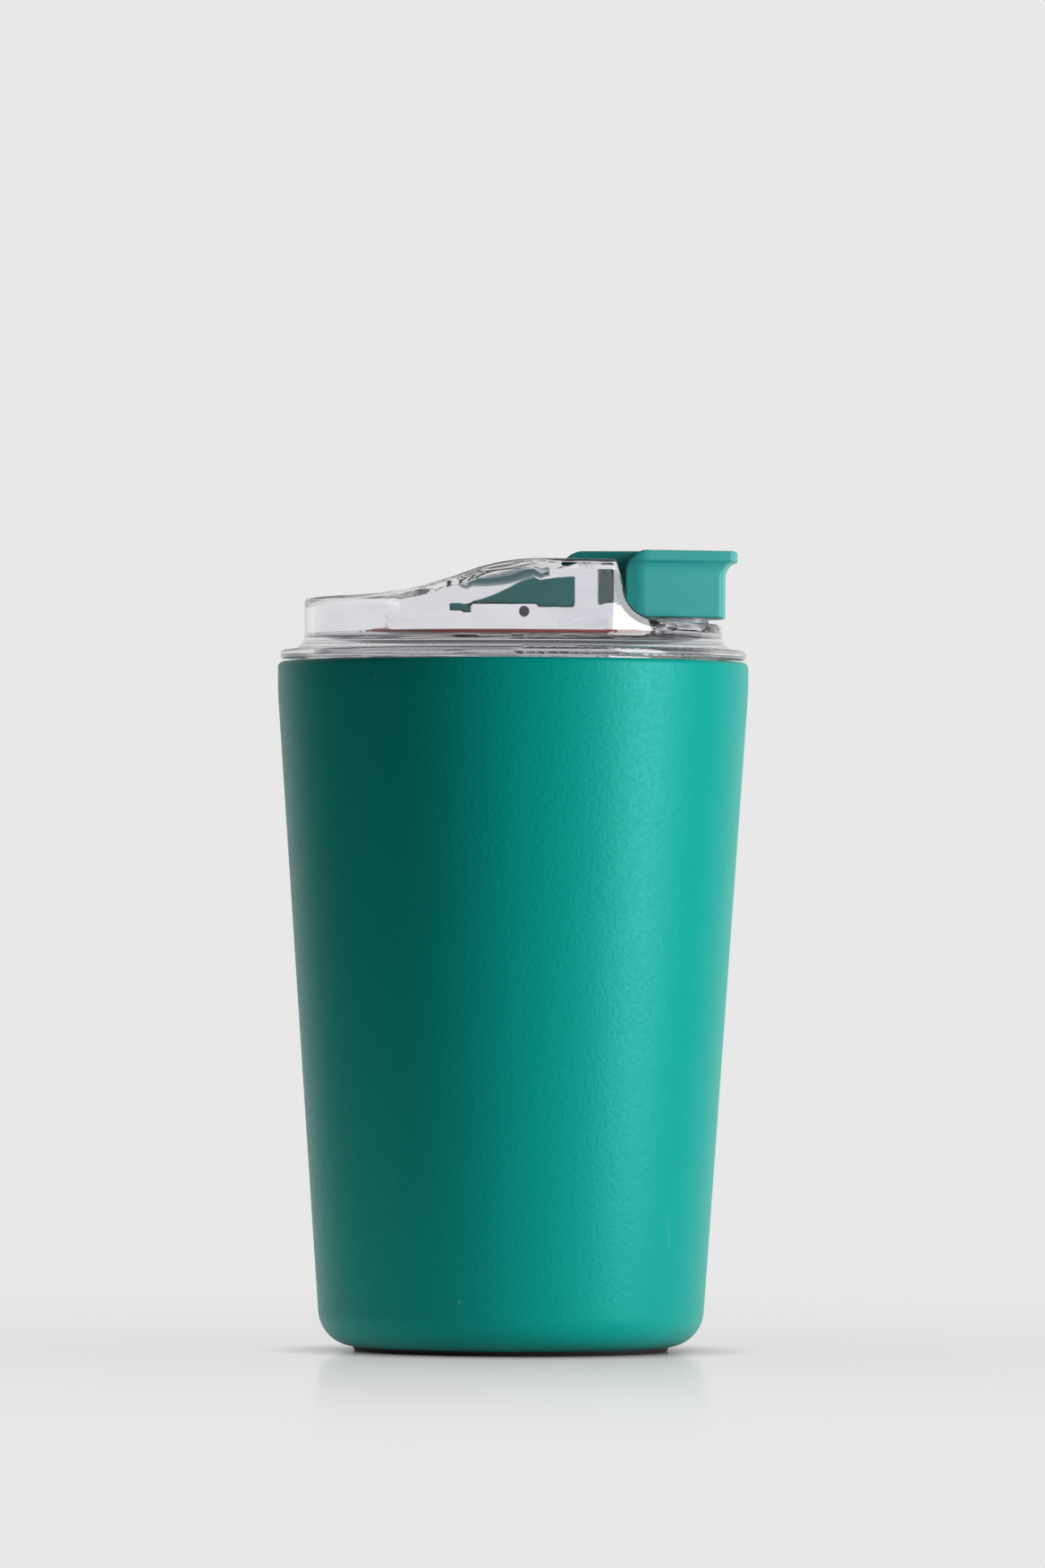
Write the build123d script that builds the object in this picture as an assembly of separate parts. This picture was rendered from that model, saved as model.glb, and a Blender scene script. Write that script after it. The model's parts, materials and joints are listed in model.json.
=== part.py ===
from build123d import *
import math
import os

# Insulated travel cup with a clear push-on lid and a flip lever, in millimetres.
# +Z is up, the origin is the middle of the foot's underside, and +X points to the sip side.

# cup wall
rim_z = 124.2             # top of the steel rim
rim_radius = 42.5         # straight band under the rim, outside
rim_bend = 0.2            # rounding inside the rim's outer corner
rim_band = 5.3            # height of the straight band
taper_angle = 3.93        # lean of the cup's side, in degrees
taper_blend = 60.0        # radius between the band and the taper
heel_radius = 6.7         # rounding between the side and the underside
shell_wall = 0.8
shell_bottom_z = 0.8      # the shell's underside, above the foot's

# liner
mouth_step = 3.4          # bore that the lid's plug enters, inside the rim's radius
mouth_depth = 13.5        # height of the straight bore
liner_wall = 0.8
liner_floor_z = 8.0       # floor of the drink space
liner_corner = 8.0        # rounding at the drink space's floor
foil_gap = 0.1            # foil to liner
foil_thickness = 0.2

# base
hem_step = 5.49           # opening in the shell's turned-in underside, inside the side's radius
base_thickness = 0.8
base_recess = 1.1         # base disc above the shell's underside
skirt_wall = 0.7          # rolled edge of the base disc
port_radius = 1.2         # evacuation port
bead_radius = 2.6
bead_height = 1.0
bead_edge = 0.8
getter_radius = 4.0
getter_thickness = 2.0
getter_edge = 0.2
getter_x = 13.0
clip_thickness = 0.4
clip_width = 4.0
clip_foot = 2.0
foot_step = 0.3           # foot pad where it meets the shell, inside the hem
foot_taper = 0.4          # the pad narrows by this much towards the ground
foot_edge = 0.25
foot_band = 10.2          # width of the ring that stands on the ground, from its outer edge
foot_hollow_depth = 0.3
foot_hollow_slope = 1.0
adhesive_thickness = 0.2
adhesive_margin = 0.6
assembly_gap = 0.1        # between fixed pieces that only locate on each other

# lid cover
lid_rest_gap = 0.4        # rim to flange
flange_step = 0.4         # flange inside the rim's radius
flange_thickness = 1.7
flange_edge = 0.6
flare_radius = 3.0        # hollow rounding between flange and wall
lid_wall_step = 4.75      # lid wall inside the rim's radius
lid_wall = 1.8
roof_thickness = 1.8
roof_low_rise = 11.4      # roof over the back of the lid, above the rim
roof_high_rise = 17.6     # top of the bridge that carries the lever, above the rim
roof_edge = 0.7
ramp_start_step = 8.75    # ramp's start, inside the lid wall at the back
ramp_split = 0.6          # share of the ramp that curves upward
bridge_length = 12.2      # ramp's end to the pivot
bridge_gap = 1.9          # bridge top's edge to the lever's body
bridge_edge = 0.8
sip_deck_rise = 6.8       # flat deck around the sip hole, above the rim
dish_to_pivot = 18.9      # middle of the dished thumb recess to the pivot
dish_drop = 1.7           # below the bridge top
dish_tilt = 9.7
dish_half_length = 10.6
dish_depth = 2.0
dish_wall = 1.3           # clear wall under the recess
vent_radius = 0.8
vent_step = 6.75          # vent inside the lid wall at the back

# lever
body_length = 17.65       # lever's body, from its bridge side to the lid wall
body_to_pivot = 2.9
pivot_drop = 1.5          # pivot below the bridge top
trunnion_radius = 1.0
trunnion_web = 0.9        # plastic around the trunnion inside the neck
trunnion_clearance = 0.06
trunnion_grip = 2.2       # how far each trunnion enters its cheek
neck_half_width = 6.0
neck_drop = 6.3           # neck's underside below the pivot
slot_clearance = 0.4      # lever neck to cheek, each side
swing_clearance = 0.3
cheek_thickness = 3.0
well_floor = 1.5
lever_rise = 2.4          # lever's top above the bridge
plate_thickness = 1.8
tail_length = 8.4         # pivot to the rounded end over the bridge
tail_gap = 0.15           # tail over the bridge top
tail_nose = 4.0
lever_lift = 1.2          # body's underside above the sip deck
body_heel = 5.0           # rounding under the body, facing the bridge
body_half_width = 13.0
body_overreach = 0.55     # body's free end beyond the lid wall
body_edge = 1.2
tab_length = 2.2          # thumb tab beyond the body's free end
paddle_straight = 3.0     # length of the sides before they draw in
paddle_taper = 20.0       # draw-in of the sides towards the tab, in degrees
paddle_blend = 12.0
plate_overhang = 1.0      # plate beyond the body's sides
plate_corner = 4.0
plate_edge = 0.6
lid_to_lever = 0.5        # lid's hollow round the lever's heel

# sip hole and its plug
sip_half_width = 3.5
sip_length = 14.0
sip_chamfer = 1.3
sip_margin = 0.2          # level deck between the lid's hollow and the chamfer
sip_tube_wall = 1.1
sip_plug_gap = 0.3
sip_plug_depth = 0.7      # how far the plug reaches under the deck

# lid base
plug_step = 1.6           # skirt inside the mouth's radius
plug_wall = 2.5
plug_depth = 11.4         # skirt below the flange
plug_edge = 0.8
floor_drop = 3.1          # lid floor below the sip deck
floor_thickness = 1.5
floor_fillet = 1.0
groove_depth = 1.4
groove_height = 5.0
groove_rise = 2.7         # groove above the skirt's lower edge
seal_gap = 0.1            # seal to mouth
seal_lip = 1.2
seal_web = 0.2            # seal between its lips, proud of the skirt
seal_edge = 0.4
boss_height = 3.4         # raised middle of the lid base
boss_to_sip = 13.8        # flat side of the boss to the middle of the sip hole
gasket_width = 2.6
gasket_height = 1.2
gasket_edge = 0.5
gasket_clearance = 0.4    # gasket to the sip hole's tube

# hinge carrier
carrier_half_width = 12.0
carrier_to_pivot = 6.2    # wedge's thick end to the pivot
carrier_length = 22.2
carrier_rise = 2.3        # wedge's underside above the boss
carrier_step = 1.1        # thin end reaches down this much further
carrier_tail_gap = 0.1    # thin end to the underside of the roof
carrier_front_gap = 1.1   # thick end to the underside of the bridge
carrier_split = 0.45      # share of the wedge's top that curves upward
post_width = 4.6
post_offset = 9.0         # middle of the post behind the wedge's thick end
rear_post_offset = 16.9
rear_post_width = 3.0
carrier_pin_radius = 0.9
carrier_pin_half = 8.0
carrier_pin_rise = 1.1    # pin above the boss

# shared by the cuts and joins
cut_margin = 1.0          # how far a cutting shape runs past the solid
join_depth = 1.0          # how far two parts of one moulding run into each other
level_step = 0.01         # keeps a cut or a test off a level face

lean = math.tan(math.radians(taper_angle))
taper_top_z = rim_z - rim_band
heel_side_radius = rim_radius - (taper_top_z - shell_bottom_z) * lean
hem_radius = heel_side_radius - hem_step
foot_radius = hem_radius - foot_step
foot_ground_radius = foot_radius - foot_taper
foot_hollow_radius = foot_ground_radius - foot_band
base_low_z = shell_bottom_z + base_recess
base_top_z = base_low_z + base_thickness
skirt_inner = hem_radius - skirt_wall
mouth_radius = rim_radius - mouth_step
shoulder_z = rim_z - mouth_depth

flange_radius = rim_radius - flange_step
flange_low_z = rim_z + lid_rest_gap
flange_top_z = flange_low_z + flange_thickness
lid_wall_radius = rim_radius - lid_wall_step
lid_bore = lid_wall_radius - lid_wall
roof_low_z = rim_z + roof_low_rise
roof_high_z = rim_z + roof_high_rise
sip_deck_z = rim_z + sip_deck_rise

body_x = lid_wall_radius - body_length
body_bottom_z = sip_deck_z + lever_lift
body_end_radius = lid_wall_radius + body_overreach
tab_end_radius = body_end_radius + tab_length
lever_top_z = roof_high_z + lever_rise
heel_x = body_x + body_heel
heel_z = body_bottom_z + body_heel
hollow_radius = body_heel + lid_to_lever
deck_start_x = heel_x + heel_z - hollow_radius - sip_deck_z
pivot_x = body_x - body_to_pivot
pivot_z = roof_high_z - pivot_drop
neck_reach = trunnion_radius + trunnion_web
neck_low_z = pivot_z - neck_drop
tail_x = pivot_x - tail_length
tail_swing = math.hypot(tail_length, roof_high_z + tail_gap - pivot_z)

bridge_end_x = body_x - bridge_gap
ramp_end_x = pivot_x - bridge_length
ramp_start_x = ramp_start_step - lid_wall_radius
dish_x = pivot_x - dish_to_pivot
dish_z = roof_high_z - dish_drop
vent_x = vent_step - lid_wall_radius
slot_half_width = neck_half_width + slot_clearance
slot_back_x = pivot_x - tail_swing - swing_clearance
slot_low_z = pivot_z - tail_swing - swing_clearance
block_half_width = slot_half_width + cheek_thickness
well_back_x = slot_back_x - lid_wall
well_low_z = slot_low_z - well_floor

sip_x = deck_start_x + sip_margin + sip_chamfer + sip_half_width
plug_radius = mouth_radius - plug_step
skirt_low_z = flange_low_z - plug_depth
groove_z = skirt_low_z + groove_rise
floor_top_z = sip_deck_z - floor_drop
gasket_outer = sip_x - sip_half_width - sip_tube_wall - gasket_clearance
boss_radius = gasket_outer - gasket_width - assembly_gap
boss_top_z = floor_top_z + boss_height
boss_front_x = sip_x - boss_to_sip

carrier_front_x = pivot_x - carrier_to_pivot
carrier_tail_x = carrier_front_x - carrier_length
carrier_low_z = boss_top_z + carrier_rise
carrier_tail_low_z = carrier_low_z - carrier_step
carrier_tail_z = roof_low_z - roof_thickness - carrier_tail_gap
carrier_high_z = roof_high_z - roof_thickness - carrier_front_gap
carrier_pin_z = boss_top_z + carrier_pin_rise
post_x = carrier_front_x - post_offset
rear_post_x = carrier_front_x - rear_post_offset


def side_radius(z):
    """Outer radius of the shell's side at height z."""
    return rim_radius - max(0, taper_top_z - z) * lean


def liner_radius(z):
    """Inner radius of the liner at height z."""
    return mouth_radius - max(0, shoulder_z - z) * lean


def turned(points, rounding=()):
    """Solid of revolution of a half-section; rounding is a list of (radius, height, fillet)."""
    section = make_face(Polyline(*points, close=True))
    for radius, height, amount in rounding:
        corner = section.vertices().sort_by_distance(Vector(radius, height, 0))[0]
        section = fillet(corner, amount)
    return revolve(Plane.XZ * section, Axis.Z)


def side_prism(section, half_width):
    """Section drawn in X and Z, extruded to both sides of the middle."""
    return extrude(Plane.XZ * section, half_width, both=True)


def s_curve(start, end, split):
    """Two tangent arcs that leave start level and reach end level."""
    run = end[0] - start[0]
    rise = end[1] - start[1]
    total = (run ** 2 + rise ** 2) / (2 * rise)
    first = total * split
    turn = math.asin(run / total)
    middle = (start[0] + first * math.sin(turn), start[1] + first * (1 - math.cos(turn)))
    half = turn / 2
    second = total - first
    low = (start[0] + first * math.sin(half), start[1] + first * (1 - math.cos(half)))
    high = (end[0] - second * math.sin(half), end[1] - second * (1 - math.cos(half)))
    return [ThreePointArc(start, low, middle), ThreePointArc(middle, high, end)]


def box_between(low, high):
    """Box from its lowest to its highest corner."""
    size = [b - a for a, b in zip(low, high)]
    centre = [(a + b) / 2 for a, b in zip(low, high)]
    return Pos(*centre) * Box(*size)


def outer_shell():
    top = rim_z
    low = shell_bottom_z
    lip = mouth_radius + liner_wall
    inner_low = low + shell_wall
    inner_heel = side_radius(inner_low) - shell_wall
    middle = side_radius(low) - 2 * heel_radius
    points = [
        (middle, low), (side_radius(low), low), (rim_radius, taper_top_z), (rim_radius, top),
        (lip, top), (lip, top - shell_wall), (rim_radius - shell_wall, top - shell_wall),
        (rim_radius - shell_wall, taper_top_z), (inner_heel, inner_low), (middle, inner_low),
    ]
    rounding = [
        (side_radius(low), low, heel_radius),
        (rim_radius, taper_top_z, taper_blend),
        (rim_radius, top, rim_bend + shell_wall),
        (rim_radius - shell_wall, top - shell_wall, rim_bend),
        (rim_radius - shell_wall, taper_top_z, taper_blend - shell_wall),
        (inner_heel, inner_low, heel_radius - shell_wall),
    ]
    return turned(points, rounding) - Cylinder(hem_radius, heel_radius)


def liner_skin(inner_offset, outer_offset, top):
    """Cup-shaped skin between two offsets of the liner's inner face, up to a height."""
    points = []
    rounding = []
    for offset_now, order in ((outer_offset, 1), (inner_offset, -1)):
        floor = liner_floor_z - offset_now
        heel = liner_radius(floor) + offset_now
        edge = [(0, floor), (heel, floor), (mouth_radius + offset_now, shoulder_z)]
        if top > shoulder_z:
            edge.append((mouth_radius + offset_now, top))
        points += edge[::order]
        rounding.append((heel, floor, liner_corner + offset_now))
    return turned(points, rounding)


def base_disc():
    points = [
        (port_radius, base_low_z), (skirt_inner, base_low_z), (skirt_inner, shell_bottom_z + assembly_gap),
        (hem_radius, shell_bottom_z + assembly_gap), (hem_radius, base_top_z), (port_radius, base_top_z),
    ]
    return turned(points)


def vacuum_bead():
    spigot = [(0, base_low_z), (port_radius, base_low_z), (port_radius, base_top_z), (0, base_top_z)]
    shoulder = [
        (0, base_top_z), (bead_radius, base_top_z), (bead_radius, base_top_z + bead_height),
        (0, base_top_z + bead_height),
    ]
    rounding = [(bead_radius, base_top_z + bead_height, bead_edge)]
    return turned(spigot) + turned(shoulder, rounding)


def getter():
    tablet = Pos(getter_x, 0, base_top_z + getter_thickness / 2) * Cylinder(getter_radius, getter_thickness)
    return chamfer(tablet.edges(), getter_edge)


def getter_clip():
    low = base_top_z
    over = base_top_z + getter_thickness + assembly_gap
    inner = getter_radius + assembly_gap
    outer = inner + clip_thickness
    half = [
        (0, over), (inner, over), (inner, low), (outer + clip_foot, low),
        (outer + clip_foot, low + clip_thickness), (outer, low + clip_thickness),
        (outer, over + clip_thickness), (0, over + clip_thickness),
    ]
    right = make_face(Polyline(*half, close=True))
    strap = right + mirror(right, Plane.YZ)
    return Pos(getter_x, 0, 0) * side_prism(strap, clip_width / 2)


def foot_pad():
    spigot = skirt_inner - assembly_gap
    top = base_low_z - adhesive_thickness
    points = [
        (0, foot_hollow_depth), (foot_hollow_radius, foot_hollow_depth),
        (foot_hollow_radius + foot_hollow_slope, 0), (foot_ground_radius, 0),
        (foot_radius, shell_bottom_z), (spigot, shell_bottom_z), (spigot, top), (0, top),
    ]
    return turned(points, [(foot_ground_radius, 0, foot_edge)])


def pad_adhesive():
    return Pos(0, 0, base_low_z - adhesive_thickness / 2) * Cylinder(
        skirt_inner - adhesive_margin, adhesive_thickness)


def lid_side(inset):
    """Area under the lid's roof line, seen from the side and drawn in by an inset."""
    high = roof_high_z
    far = 2 * flange_radius
    hollow_low = (heel_x, heel_z - hollow_radius)
    diagonal = hollow_radius * math.cos(math.pi / 4)
    hollow_mid = (heel_x - diagonal, heel_z - diagonal)
    hollow_top = (heel_x - hollow_radius, heel_z)
    ramp = s_curve((ramp_start_x, roof_low_z), (ramp_end_x, high), ramp_split)
    deck_start = (deck_start_x, sip_deck_z)
    outline = [
        Line((-far, roof_low_z), (ramp_start_x, roof_low_z)), *ramp,
        Line((ramp_end_x, high), (bridge_end_x, high)),
        Line((bridge_end_x, high), hollow_top),
        ThreePointArc(hollow_top, hollow_mid, hollow_low),
        Line(hollow_low, deck_start),
        Line(deck_start, (far, sip_deck_z)),
        Line((far, sip_deck_z), (far, 0)), Line((far, 0), (-far, 0)), Line((-far, 0), (-far, roof_low_z)),
    ]
    area = make_face(outline)
    corner = area.vertices().sort_by_distance(Vector(bridge_end_x, high, 0))[0]
    area = fillet(corner, bridge_edge)
    if inset:
        area = offset(area, -inset)
    return area


def dish(grow):
    """Ball that hollows the thumb recess, grown for the wall under it."""
    radius = (dish_half_length ** 2 + dish_depth ** 2) / (2 * dish_depth)
    tilt = math.radians(dish_tilt)
    lift = radius - dish_depth
    centre = (dish_x - lift * math.sin(tilt), 0, dish_z + lift * math.cos(tilt))
    return Pos(*centre) * Sphere(radius + grow)


def sip_slot(grow, low, high, taper=0):
    """Stadium across the sip side, grown all round, between two heights."""
    outline = SlotOverall(sip_length + 2 * grow, 2 * (sip_half_width + grow), rotation=90)
    return extrude(Pos(sip_x, 0, low) * outline, high - low, taper=taper)


def lid_cover():
    full = 2 * flange_radius
    envelope = turned(
        [(0, flange_low_z), (flange_radius, flange_low_z), (flange_radius, flange_top_z),
         (lid_wall_radius, flange_top_z), (lid_wall_radius, lever_top_z), (0, lever_top_z)],
        [(flange_radius, flange_low_z, flange_edge), (flange_radius, flange_top_z, flange_edge),
         (lid_wall_radius, flange_top_z, flare_radius)])
    body = envelope & side_prism(lid_side(0), full)
    middles = [(edge, edge.position_at(0.5)) for edge in body.edges()]
    wall_edges = [edge for edge, point in middles
                  if point.Z > sip_deck_z - roof_edge
                  and abs(math.hypot(point.X, point.Y) - lid_wall_radius) < level_step]
    body = fillet(wall_edges, roof_edge)
    room = Pos(0, 0, flange_low_z) * Cylinder(
        lid_bore, roof_high_z - flange_low_z, align=(Align.CENTER, Align.CENTER, Align.MIN))
    room = (room & side_prism(lid_side(roof_thickness), full)) - dish(dish_wall)
    block = box_between(
        (well_back_x, -block_half_width, well_low_z), (heel_x, block_half_width, roof_high_z))
    room -= block
    room -= sip_slot(sip_tube_wall, floor_top_z + assembly_gap, sip_deck_z)
    body -= room
    body -= dish(0)
    body -= box_between(
        (slot_back_x, -slot_half_width, slot_low_z), (full, slot_half_width, lever_top_z))
    bearing = slot_half_width + trunnion_grip + swing_clearance
    body -= Pos(pivot_x, 0, pivot_z) * Rot(90, 0, 0) * Cylinder(
        trunnion_radius + trunnion_clearance, 2 * bearing)
    body -= sip_slot(0, flange_low_z, sip_deck_z + cut_margin)
    body -= sip_slot(0, sip_deck_z - sip_chamfer, sip_deck_z + level_step, taper=-45)
    body -= Pos(vent_x, 0, roof_low_z) * Cylinder(vent_radius, 3 * roof_thickness)
    return body


def lid_base():
    collar = lid_bore - assembly_gap
    top = flange_low_z - assembly_gap
    floor_low = floor_top_z - floor_thickness
    inner = plug_radius - plug_wall
    groove = plug_radius - groove_depth
    points = [
        (0, floor_low), (inner, floor_low), (inner, skirt_low_z), (plug_radius, skirt_low_z),
        (plug_radius, groove_z), (groove, groove_z), (groove, groove_z + groove_height),
        (plug_radius, groove_z + groove_height), (plug_radius, top), (collar, top),
        (collar, floor_top_z), (0, floor_top_z),
    ]
    base = turned(points, [(plug_radius, skirt_low_z, plug_edge), (inner, floor_low, floor_fillet)])
    boss = Pos(0, 0, floor_top_z) * Cylinder(
        boss_radius, boss_top_z - floor_top_z, align=(Align.CENTER, Align.CENTER, Align.MIN))
    boss -= box_between(
        (boss_front_x, -flange_radius, floor_top_z + gasket_height), (flange_radius, flange_radius, lever_top_z))
    boss -= box_between(
        (well_back_x - assembly_gap, -block_half_width - assembly_gap, well_low_z - assembly_gap),
        (flange_radius, block_half_width + assembly_gap, lever_top_z))
    base += boss
    post = box_between(
        (post_x - post_width / 2, -carrier_pin_half, floor_top_z),
        (post_x + post_width / 2, carrier_pin_half, carrier_low_z))
    rear = box_between(
        (rear_post_x - rear_post_width / 2, -carrier_pin_half, floor_top_z),
        (rear_post_x + rear_post_width / 2, carrier_pin_half, carrier_low_z))
    base += post + rear
    base -= carrier_pin()
    base -= sip_slot(0, floor_low - cut_margin, floor_top_z + cut_margin)
    base -= Pos(vent_x, 0, floor_top_z) * Cylinder(2 * vent_radius, 4 * floor_thickness)
    return base


def lid_gasket():
    inner = boss_radius + assembly_gap
    outer = inner + gasket_width
    low = floor_top_z
    high = low + gasket_height - assembly_gap
    return turned(
        [(inner, low), (outer, low), (outer, high), (inner, high)],
        [(outer, high, gasket_edge), (inner, high, gasket_edge)])


def plug_seal():
    root = plug_radius - groove_depth
    tip = mouth_radius - seal_gap
    web = plug_radius + seal_web
    low = groove_z
    high = groove_z + groove_height
    points = [
        (root, low), (tip, low), (tip, low + seal_lip), (web, low + seal_lip),
        (web, high - seal_lip), (tip, high - seal_lip), (tip, high), (root, high),
    ]
    lips = (low, low + seal_lip, high - seal_lip, high)
    return turned(points, [(tip, height, seal_edge) for height in lips])


def hinge_carrier():
    tip = (carrier_tail_x, carrier_tail_z)
    nose = (carrier_front_x, carrier_high_z)
    step_x = rear_post_x - rear_post_width / 2 - assembly_gap
    under = Polyline(
        nose, (carrier_front_x, carrier_low_z), (step_x, carrier_low_z), (step_x, carrier_tail_low_z),
        (carrier_tail_x, carrier_tail_low_z), tip)
    carrier = side_prism(make_face([*s_curve(tip, nose, carrier_split), *under.edges()]), carrier_half_width)
    carrier -= box_between(
        (well_back_x - assembly_gap, -block_half_width - assembly_gap, boss_top_z),
        (flange_radius, block_half_width + assembly_gap, roof_high_z))
    return carrier


def carrier_pin():
    return Pos(post_x, 0, carrier_pin_z) * Rot(90, 0, 0) * Cylinder(carrier_pin_radius, 2 * carrier_pin_half)


def paddle_outline(end_radius, half_width, corner):
    """Plan of the lever's wide part: sides that draw in and a free end round the cup's axis."""
    turn_x = body_x + paddle_straight
    end_width = half_width - (end_radius - turn_x) * math.tan(math.radians(paddle_taper))
    side = [(body_x, half_width), (turn_x, half_width), (end_radius, end_width)]
    area = make_face(Polyline(*side, *[(x, -y) for x, y in side[::-1]], close=True))
    bends = [area.vertices().sort_by_distance(Vector(turn_x, y, 0))[0] for y in (half_width, -half_width)]
    area = fillet(bends, paddle_blend) & Circle(end_radius)
    tips = area.vertices().group_by(Axis.X)[-1]
    return fillet(tips, corner)


def lever():
    plate_low = lever_top_z - plate_thickness
    tail_low = roof_high_z + tail_gap
    half_plate = body_half_width + plate_overhang
    plate = extrude(Pos(0, 0, plate_low) * paddle_outline(tab_end_radius, half_plate, plate_corner),
                    plate_thickness)
    plate = fillet(plate.edges().group_by(Axis.Z)[-1], plate_edge)
    middle = lever_top_z - plate_thickness / 2
    side = make_face(Polyline(
        (body_x, body_bottom_z), (body_end_radius, body_bottom_z), (body_end_radius, middle), (body_x, middle),
        close=True))
    heel = side.vertices().sort_by_distance(Vector(body_x, body_bottom_z, 0))[0]
    side = fillet(heel, body_heel)
    body = side_prism(side, body_half_width)
    plan = paddle_outline(body_end_radius, body_half_width, plate_corner)
    body &= extrude(Pos(0, 0, body_bottom_z - cut_margin) * plan, lever_top_z)
    middles = [(edge, edge.center()) for edge in body.edges()]
    rim = [edge for edge, point in middles
           if point.Z < body_bottom_z + level_step and point.X > heel_x + level_step]
    body = fillet(rim, body_edge)
    tail = make_face([
        Line((tail_x, tail_low), (body_x + join_depth, tail_low)),
        Line((body_x + join_depth, tail_low), (body_x + join_depth, lever_top_z)),
        Line((body_x + join_depth, lever_top_z), (tail_x + tail_nose, lever_top_z)),
        TangentArc((tail_x + tail_nose, lever_top_z), (tail_x, tail_low), tangent=(-1, 0)),
    ])
    arm = side_prism(tail, neck_half_width)
    arm += side_prism(neck_side(), neck_half_width)
    arm += Pos(pivot_x, 0, pivot_z) * Rot(90, 0, 0) * Cylinder(
        trunnion_radius, 2 * (neck_half_width + trunnion_grip))
    return plate + body + arm


def neck_side():
    """Side view of the neck: straight behind, joined to the body in front."""
    back = pivot_x - neck_reach
    front = body_x + join_depth / 2
    top = lever_top_z - plate_edge
    return make_face(Polyline(
        (back, neck_low_z), (pivot_x + neck_reach, neck_low_z), (front, heel_z), (front, top), (back, top),
        close=True))


def sip_plug():
    grow = sip_chamfer - sip_plug_gap
    bottom = sip_deck_z - sip_plug_depth
    shoulder = sip_deck_z + sip_plug_gap
    tip = sip_slot(grow - (shoulder - bottom), bottom, shoulder, taper=-45)
    return tip + sip_slot(grow, shoulder, body_bottom_z)


foil_offset = liner_wall + foil_gap
nodes = {
    "outer_shell": outer_shell(),
    "inner_liner": liner_skin(0, liner_wall, rim_z),
    "vacuum_foil": liner_skin(foil_offset, foil_offset + foil_thickness, shoulder_z),
    "base_disc": base_disc(),
    "vacuum_bead": vacuum_bead(),
    "getter": getter(),
    "getter_clip": getter_clip(),
    "foot_pad": foot_pad(),
    "pad_adhesive": pad_adhesive(),
    "lid_cover": lid_cover(),
    "lid_base": lid_base(),
    "lid_gasket": lid_gasket(),
    "plug_seal": plug_seal(),
    "hinge_carrier": hinge_carrier(),
    "carrier_pin": carrier_pin(),
    "lever": lever(),
    "sip_plug": sip_plug(),
}

os.makedirs("parts", exist_ok=True)
for name, shape in nodes.items():
    export_step(shape, f"parts/{name}.step")
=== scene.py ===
import json
import math
import bpy
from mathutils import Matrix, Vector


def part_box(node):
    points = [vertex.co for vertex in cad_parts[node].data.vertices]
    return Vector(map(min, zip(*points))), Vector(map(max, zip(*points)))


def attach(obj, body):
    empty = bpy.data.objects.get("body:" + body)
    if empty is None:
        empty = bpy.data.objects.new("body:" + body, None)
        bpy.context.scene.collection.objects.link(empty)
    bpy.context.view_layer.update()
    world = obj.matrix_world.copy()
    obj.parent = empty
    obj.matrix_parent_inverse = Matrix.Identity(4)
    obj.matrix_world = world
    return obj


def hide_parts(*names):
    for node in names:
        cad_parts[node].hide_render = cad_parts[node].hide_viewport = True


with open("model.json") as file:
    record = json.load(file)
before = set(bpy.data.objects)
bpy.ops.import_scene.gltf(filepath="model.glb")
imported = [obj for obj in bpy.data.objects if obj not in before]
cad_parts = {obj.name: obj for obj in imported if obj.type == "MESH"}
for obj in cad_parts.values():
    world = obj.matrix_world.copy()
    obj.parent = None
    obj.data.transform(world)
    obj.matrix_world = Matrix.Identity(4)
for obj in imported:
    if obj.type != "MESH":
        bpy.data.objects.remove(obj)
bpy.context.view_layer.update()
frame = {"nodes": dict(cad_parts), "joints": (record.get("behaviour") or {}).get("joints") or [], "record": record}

mm = 0.001
circleSteps = 192
near = 0.02  # how far, in millimetres, a picked corner may lie from its place
hinge = [joint for joint in frame["joints"] if joint["name"] == "lever_hinge"][0]["pos_m"]


def boxMm(node):
    low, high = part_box(node)
    return [value / mm for value in low], [value / mm for value in high]


def deselectAll():
    if bpy.context.mode != "OBJECT":
        bpy.ops.object.mode_set(mode="OBJECT")
    bpy.ops.object.select_all(action="DESELECT")


def startEdit(piece):
    deselectAll()
    piece.select_set(True)
    bpy.context.view_layer.objects.active = piece
    bpy.ops.object.mode_set(mode="EDIT")


def pickEdges(piece, test):
    # test gets the two ends of an edge, in millimetres
    bpy.ops.mesh.select_mode(type="EDGE")
    bpy.ops.mesh.select_all(action="DESELECT")
    bpy.ops.object.mode_set(mode="OBJECT")
    spots = [vertex.co / mm for vertex in piece.data.vertices]
    for edge in piece.data.edges:
        edge.select = test(spots[edge.vertices[0]], spots[edge.vertices[1]])
    bpy.ops.object.mode_set(mode="EDIT")


def pickFaces(piece, test):
    # test gets a face's centre in millimetres and its normal
    bpy.ops.mesh.select_mode(type="FACE")
    bpy.ops.mesh.select_all(action="DESELECT")
    bpy.ops.object.mode_set(mode="OBJECT")
    for face in piece.data.polygons:
        face.select = test(face.center / mm, face.normal)
    bpy.ops.object.mode_set(mode="EDIT")


def bevelPicked(size, segments, profile=0.5):
    bpy.ops.mesh.bevel(offset=size * mm, offset_type="OFFSET", segments=segments, profile=profile,
                       affect="EDGES", clamp_overlap=True)


def useModifier(piece, kind, **settings):
    deselectAll()
    piece.select_set(True)
    bpy.context.view_layer.objects.active = piece
    modifier = piece.modifiers.new(kind.title(), kind)
    for key, value in settings.items():
        setattr(modifier, key, value)
    bpy.ops.object.modifier_apply(modifier=modifier.name)


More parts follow.
